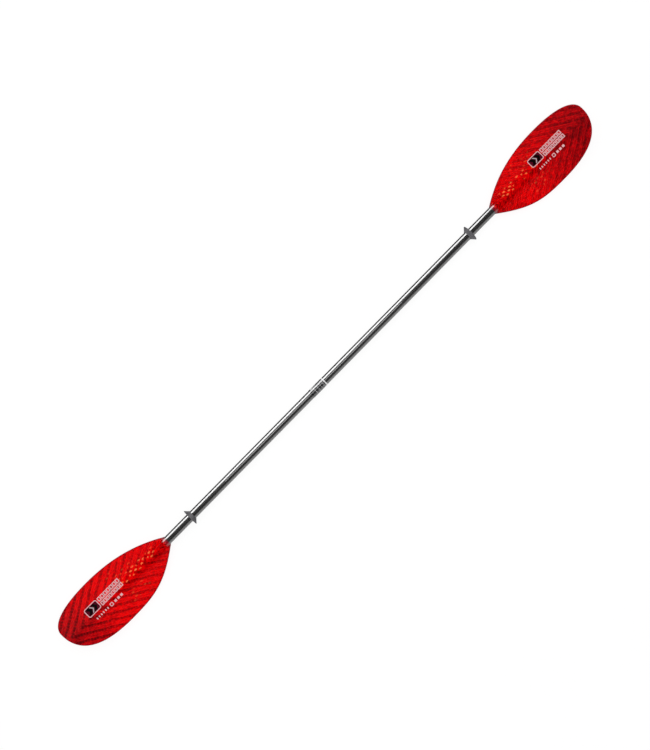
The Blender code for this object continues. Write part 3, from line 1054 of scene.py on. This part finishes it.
def chevron(x, y, reach, run, stroke):
    """A chevron that points along +X, its middle at (x, y)."""
    places = []
    for k in range(9):
        t = abs(k / 4 - 1)
        side = y + reach * (k / 4 - 1)
        places.append([(x - run * t, side), (x - run * t + stroke / 2, side), (x - run * t + stroke, side)])
    return places


def stick(side, part, patches, look, node, level=(0.0, 1.0)):
    """Puts one colour of a decal on this side's blade, in place of this CAD node."""
    made = bmesh.new()
    for points in patches:
        lay(made, SIDES[side], points, level)
    bmesh.ops.remove_doubles(made, verts=made.verts, dist=0.000001)
    piece(side + part, finished(made, side), look, side + "_half", "decal", side + node)


def make_badge(side, x0, x1, looks):
    """A rounded frame with a dark ground inside it and three chevrons on that."""
    y0, y1 = BADGE_Y
    below, above = (0.0, 0.4), (0.5, 1.0)
    frame_corner, inset = 0.0065, 0.0030
    band = frame_band(x0, x1, y0, y1, frame_corner, FRAME_STROKE)
    stick(side, "_badge_frame", [band], looks["pale"], "_blade_badge")
    ground = bar(x0 + inset, x1 - inset, y0 + inset, y1 - inset, 14, 9)
    stick(side, "_badge_ground", [ground], looks["maroon"], "_blade_badge", below)
    middle, reach, run = (y0 + y1) / 2, 0.0108, 0.0085
    dark = [chevron(x0 + at, middle, reach, run, 0.0100) for at in (0.0140, 0.0350)]
    stick(side, "_badge_marks", dark, looks["black"], "_blade_badge", above)
    grey = [chevron(x0 + 0.0275, middle, reach, run, 0.0040)]
    stick(side, "_badge_mark_grey", grey, looks["grey"], "_blade_badge", above)


def tile_rows(x0, x1):
    """Two rows of open tiles, seven above eight."""
    y0, y1 = BARS_Y
    tiles = []
    for low, high, count in ((y1 - TILE_HEIGHT, y1, 7), (y0, y0 + TILE_HEIGHT, 8)):
        pitch = (x1 - x0) / count
        for k in range(count):
            left = x0 + pitch * k
            tiles.append(frame_band(left, left + pitch * 0.88, low, high, 0.0010, 0.0030))
    return tiles


def line_marks(x0):
    """Six short dashes, an open square and three longer dashes."""
    y0, y1 = LINE_Y
    top = y1 - 0.0025
    marks = []
    for k in range(6):
        left = x0 + 0.0092 * k
        marks.append(bar(left, left + 0.0038, y0 + 0.003, top))
    square = x0 + 0.0585
    marks.append(frame_band(square, square + 0.0120, y0, y1, 0.0030, FRAME_STROKE))
    for k in range(3):
        left = x0 + 0.0770 + 0.0130 * k
        marks.append(bar(left, left + 0.0082, y0 + 0.0015, top))
    return marks


def make_decals(looks):
    """Plain generic marks: a framed badge of chevrons, two rows of open tiles, and a line of dashes."""
    for side, start in DECAL_START_X.items():
        make_badge(side, start + BADGE_X[0], start + BADGE_X[1], looks)
        tiles = tile_rows(start + BARS_X[0], start + BARS_X[1])
        stick(side, "_block_rows", tiles, looks["pale"], "_blade_bars")
        stick(side, "_dash_line", line_marks(start + LINE_X), looks["pale"], "_blade_line")


# ---------------------------------------------------------------- studio


def make_camera():
    """Looks down on the power faces, leaning a little along the shaft."""
    data = bpy.data.cameras.new("camera")
    data.lens = LENS
    data.sensor_width = SENSOR
    data.sensor_fit = "AUTO"
    data.clip_start, data.clip_end = 0.1, 100.0
    camera = bpy.data.objects.new("camera", data)
    back = Vector((-math.sin(CAMERA_LEAN), 0, math.cos(CAMERA_LEAN)))
    along = Vector((math.cos(CAMERA_LEAN), 0, math.sin(CAMERA_LEAN)))
    across = Vector((0, 1, 0))
    right = along * math.cos(SHAFT_TILT) - across * math.sin(SHAFT_TILT)
    up = along * math.sin(SHAFT_TILT) + across * math.cos(SHAFT_TILT)
    camera.location = right * AIM_RIGHT + up * AIM_UP + back * CAMERA_DISTANCE
    camera.rotation_euler = Matrix((right, up, back)).transposed().to_euler()
    bpy.context.scene.collection.objects.link(camera)
    bpy.context.scene.camera = camera


def area_light(name, place, target, size, power, seen_by):
    """A rectangular light; seen_by names the kind of ray that meets it."""
    data = bpy.data.lights.new(name, "AREA")
    data.shape = "RECTANGLE"
    data.size, data.size_y = size
    data.energy = power
    light = bpy.data.objects.new(name, data)
    light.location = place
    light.rotation_euler = (Vector(target) - Vector(place)).to_track_quat("-Z", "Y").to_euler()
    light.visible_camera = False
    light.visible_glossy = seen_by == "glossy"
    light.visible_diffuse = seen_by == "diffuse"
    bpy.context.scene.collection.objects.link(light)


def make_lights():
    """A wide light overhead, and three more, given by their radiance, that only show in reflections."""
    area_light("overhead", (0.0, 0.9, 5.0), (0, 0, 0), (5.0, 5.0), OVERHEAD_POWER, "diffuse")
    for name, place, target, size, radiance in (
        ("long_strip", (0.2, 3.0, 1.52), (0.2, 0, 1.52), (3.6, 2.65), 6.2),
        ("low_fill", (0.2, -3.0, -1.2), (0.2, 0, -1.2), (3.6, 6.0), 0.80),
        ("thin_strip", (-0.013, 0.45, 2.6), (-0.013, 0, 0), (1.30, 0.75), 2.25),
    ):
        area_light(name, place, target, size, radiance * math.pi * size[0] * size[1], "glossy")


def make_world():
    """Soft even surround, kept dim for reflections and pale where the camera sees past the floor."""
    world = bpy.data.worlds.new("studio")
    bpy.context.scene.world = world
    world.use_nodes = True
    tree = world.node_tree
    background = tree.nodes["Background"]
    path = tree.nodes.new("ShaderNodeLightPath")
    for_glossy = tree.nodes.new("ShaderNodeMix")
    for_camera = tree.nodes.new("ShaderNodeMix")
    for_glossy.inputs[2].default_value = AMBIENT
    for_glossy.inputs[3].default_value = AMBIENT_IN_REFLECTIONS
    for_camera.inputs[3].default_value = BACKDROP
    tree.links.new(path.outputs["Is Glossy Ray"], for_glossy.inputs[0])
    tree.links.new(for_glossy.outputs[0], for_camera.inputs[2])
    tree.links.new(path.outputs["Is Camera Ray"], for_camera.inputs[0])
    tree.links.new(for_camera.outputs[0], background.inputs["Strength"])
    background.inputs["Color"].default_value = (1.0, 1.0, 1.0, 1.0)


def make_floor():
    """A pale light-table: part lit from above, part glowing, so shadows on it stay faint."""
    half = 40.0
    mesh = bpy.data.meshes.new("floor")
    corners = [(x * half, y * half, FLOOR_Z) for x, y in ((-1, -1), (1, -1), (1, 1), (-1, 1))]
    mesh.from_pydata(corners, [], [(0, 1, 2, 3)])
    floor = bpy.data.objects.new("floor", mesh)
    bpy.context.scene.collection.objects.link(floor)
    look = Look("pale_floor")
    mottle = look.noise(look.position, 2.0, 2.0)
    look.set(
        Base_Color=look.mix(mottle, (0.11, 0.11, 0.11), (0.13, 0.13, 0.13)),
        Roughness=0.9,
        Specular_IOR_Level=0.0,
        Emission_Color=(1.0, 1.0, 1.0),
        Emission_Strength=FLOOR_GLOW,
    )
    mesh.materials.append(look.material)
    floor.visible_glossy = False
    floor.visible_shadow = False


# ---------------------------------------------------------------- main

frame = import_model()

foam_look = foam()
for node in ("left_blade_core", "right_blade_core", "socket_bulkhead", "spigot_bulkhead"):
    obj = frame["nodes"][node]
    obj.data.materials.clear()
    obj.data.materials.append(foam_look)

nylon = plastic("moulded_nylon", (0.018, 0.018, 0.019), (0.050, 0.050, 0.052), 900.0)
cap = plastic("cap_plastic", (0.035, 0.035, 0.037), (0.085, 0.085, 0.088), 1400.0)
steel = metal("brushed_steel", (0.62, 0.62, 0.64), rough=0.16, along=2600.0, round_axis=3.0)
pale_metal = (0.97, 0.97, 0.97)
aluminium = metal("satin_aluminium", pale_metal, rough=0.34, along=5200.0, round_axis=2.0, metallic=0.10)
drills = [button_drill(k * FEATHER_STEP) for k in (-1, 0, 1)]

make_camera()
left_laminate = laminate(
    "laminate_left",
    tone=0.79,
    band_depth=1.0,
    fine_depth=0.6,
    grain=0.95,
    fade_start=0.26,
    fade_depth=0.23,
    neck_depth=0.06,
)
right_laminate = laminate(
    "laminate_right",
    tone=0.745,
    band_depth=0.62,
    fine_depth=1.0,
    grain=1.20,
    fade_start=0.11,
    fade_depth=0.29,
    neck_depth=0.12,
)
make_blades({"left": left_laminate, "right": right_laminate})
make_shafts(carbon(), [d.copy() for d in drills])
ferrule_looks = {"nylon": nylon, "cap": cap, "aluminium": aluminium, "scale": scale_print()}
make_ferrule(ferrule_looks, [d.copy() for d in drills])
make_button(steel)
make_button_spring(steel)
make_drip_rings(rubber())
make_decals(
    {
        "pale": decal("ink_pale", (0.71, 0.37, 0.39), (0.82, 0.53, 0.55)),
        "grey": decal("ink_grey", (0.36, 0.34, 0.35), (0.50, 0.47, 0.48)),
        "black": decal("ink_black", (0.001, 0.001, 0.001), (0.004, 0.002, 0.002)),
        "maroon": decal("ink_maroon", (0.045, 0.001, 0.008), (0.12, 0.002, 0.014)),
    }
)
make_lights()
make_world()
make_floor()
bpy.context.scene.view_settings.view_transform = "Standard"

bpy.context.view_layer.update()
